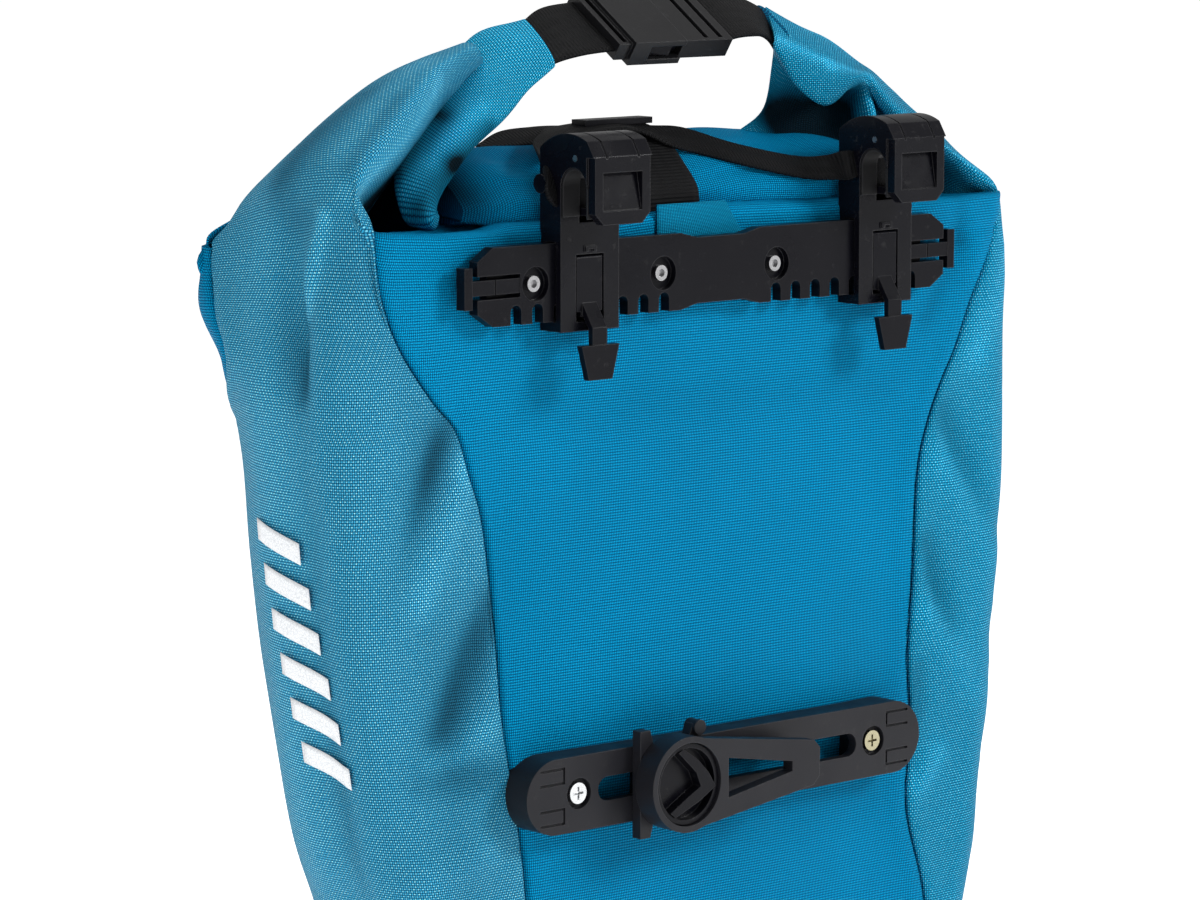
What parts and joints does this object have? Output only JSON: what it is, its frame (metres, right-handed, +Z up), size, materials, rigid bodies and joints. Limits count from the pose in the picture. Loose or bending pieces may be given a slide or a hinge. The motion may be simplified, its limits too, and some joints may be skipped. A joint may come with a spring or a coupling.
{
  "type": "bicycle pannier bag",
  "caption": "Roll-top bicycle pannier bag with sliding rack hooks, a swivelling lower hook and a buckled carry arch",
  "frame": {"origin": "under the middle of the bag, on the plane it stands on", "axes": "+Z up, the rack side with the hooks faces -Y, +X to the right seen from the rack side"},
  "size_m": [0.432, 0.1802, 0.5213],
  "materials": {
    "black_nylon": "fine spark texture",
    "blue_fabric": "coated woven, coarse weave",
    "side_fabric": "coated woven, two-tone",
    "black_webbing": "ribbed webbing",
    "grey_sheet": "smooth sheet",
    "zinc_steel": "zinc plated",
    "liner_plastic": "smooth",
    "reflective_print": "retroreflective print"
  },
  "bodies": {
    "bag": {"back_panel": "blue_fabric", "front_panel": "blue_fabric", "side_panel_left": "side_fabric", "side_panel_right": "side_fabric", "base_panel": "blue_fabric", "backing_board": "grey_sheet", "base_board": "grey_sheet", "roll_bundle": "blue_fabric", "roll_stiffener": "grey_sheet", "top_panel": "blue_fabric", "roll_end_left": "blue_fabric", "roll_end_right": "blue_fabric", "gusset_left": "blue_fabric", "gusset_right": "blue_fabric", "buckle_female": "black_nylon", "webbing_left": "black_webbing", "webbing_right": "black_webbing", "compression_strap": "black_webbing", "strap_keeper": "black_nylon", "strap_tensioner": "black_nylon", "handle_webbing": "black_webbing", "rail": "black_nylon", "rail_end_stop_left": "black_nylon", "rail_end_stop_right": "black_nylon", "rail_screws": "zinc_steel", "rail_washers": "zinc_steel", "rail_nuts": "zinc_steel", "lower_bar": "black_nylon", "lower_bar_screws": "zinc_steel", "lower_bar_nuts": "zinc_steel", "reflective_mark": "reflective_print", "hem_patch": "blue_fabric"},
    "hook_left_body": {"hook_left": "black_nylon", "hook_liner_left": "liner_plastic", "latch_pin_left": "zinc_steel", "latch_spring_left": "zinc_steel"},
    "latch_left_body": {"latch_left": "black_nylon"},
    "lock_tab_left_body": {"lock_tab_left": "black_nylon"},
    "hook_right_body": {"hook_right": "black_nylon", "hook_liner_right": "liner_plastic", "latch_pin_right": "zinc_steel", "latch_spring_right": "zinc_steel"},
    "latch_right_body": {"latch_right": "black_nylon"},
    "lock_tab_right_body": {"lock_tab_right": "black_nylon"},
    "lower_slider_body": {"lower_slider": "black_nylon", "slider_clamp_plate": "black_nylon"},
    "lower_hook_body": {"lower_hook": "black_nylon"},
    "clamp_knob_body": {"clamp_knob": "black_nylon"},
    "buckle_male_body": {"buckle_male": "black_nylon"},
    "prong_upper_body": {"buckle_prong_upper": "black_nylon"},
    "prong_lower_body": {"buckle_prong_lower": "black_nylon"}
  },
  "joints": [
    {"name": "hook_left_slide", "type": "slide", "parent": "bag", "child": "hook_left_body", "axis": [1, 0, 0], "range_m": [-0.034, 0.03], "deforming": ["handle_webbing", "lock_tab_left"]},
    {"name": "latch_left_turn", "type": "hinge", "parent": "hook_left_body", "child": "latch_left_body", "pos_m": [-0.0844, -0.075, 0.4473], "axis": [1, 0, 0], "range_deg": [0, 16], "stiffness_Nm_per_rad": 0.02, "springref_deg": -8.59, "deforming": ["handle_webbing"]},
    {"name": "lock_tab_left_flex", "type": "hinge", "parent": "hook_left_body", "child": "lock_tab_left_body", "pos_m": [-0.0844, -0.0633, 0.4003], "axis": [-1, 0, 0], "range_deg": [0, 12], "stiffness_Nm_per_rad": 0.05, "springref_deg": -5.73},
    {"name": "hook_right_slide", "type": "slide", "parent": "bag", "child": "hook_right_body", "axis": [1, 0, 0], "range_m": [-0.045, 0.015], "deforming": ["handle_webbing", "lock_tab_right"]},
    {"name": "latch_right_turn", "type": "hinge", "parent": "hook_right_body", "child": "latch_right_body", "pos_m": [0.104, -0.075, 0.4473], "axis": [1, 0, 0], "range_deg": [0, 16], "stiffness_Nm_per_rad": 0.02, "springref_deg": -8.59, "deforming": ["handle_webbing"]},
    {"name": "lock_tab_right_flex", "type": "hinge", "parent": "hook_right_body", "child": "lock_tab_right_body", "pos_m": [0.104, -0.0633, 0.4003], "axis": [-1, 0, 0], "range_deg": [0, 12], "stiffness_Nm_per_rad": 0.05, "springref_deg": -5.73},
    {"name": "lower_slider_slide", "type": "slide", "parent": "bag", "child": "lower_slider_body", "axis": [1, 0, 0], "range_m": [-0.029, 0.114]},
    {"name": "lower_hook_swivel", "type": "hinge", "parent": "lower_slider_body", "child": "lower_hook_body", "pos_m": [-0.0428, -0.0775, 0.1527], "axis": [0, 1, 0], "continuous": true},
    {"name": "clamp_knob_turn", "type": "hinge", "parent": "lower_slider_body", "child": "clamp_knob_body", "pos_m": [-0.0428, -0.0825, 0.1527], "axis": [0, 1, 0], "range_deg": [0, 90]},
    {"name": "buckle_release", "type": "slide", "parent": "bag", "child": "buckle_male_body", "axis": [1, 0, 0], "range_m": [0, 0.025], "deforming": ["webbing_right"]},
    {"name": "prong_upper_squeeze", "type": "hinge", "parent": "buckle_male_body", "child": "prong_upper_body", "pos_m": [0.0033, 0.00185, 0.51167], "axis": [0, -0.5592, 0.829], "range_deg": [0, 8], "stiffness_Nm_per_rad": 0.02},
    {"name": "prong_lower_squeeze", "type": "hinge", "parent": "buckle_male_body", "child": "prong_lower_body", "pos_m": [0.0033, -0.02385, 0.49433], "axis": [0, 0.5592, -0.829], "range_deg": [0, 8], "stiffness_Nm_per_rad": 0.02}
  ],
  "couplings": [
    {"joint": "latch_right_turn", "follows": "latch_left_turn", "ratio": 1},
    {"joint": "prong_lower_squeeze", "follows": "prong_upper_squeeze", "ratio": 1}
  ]
}
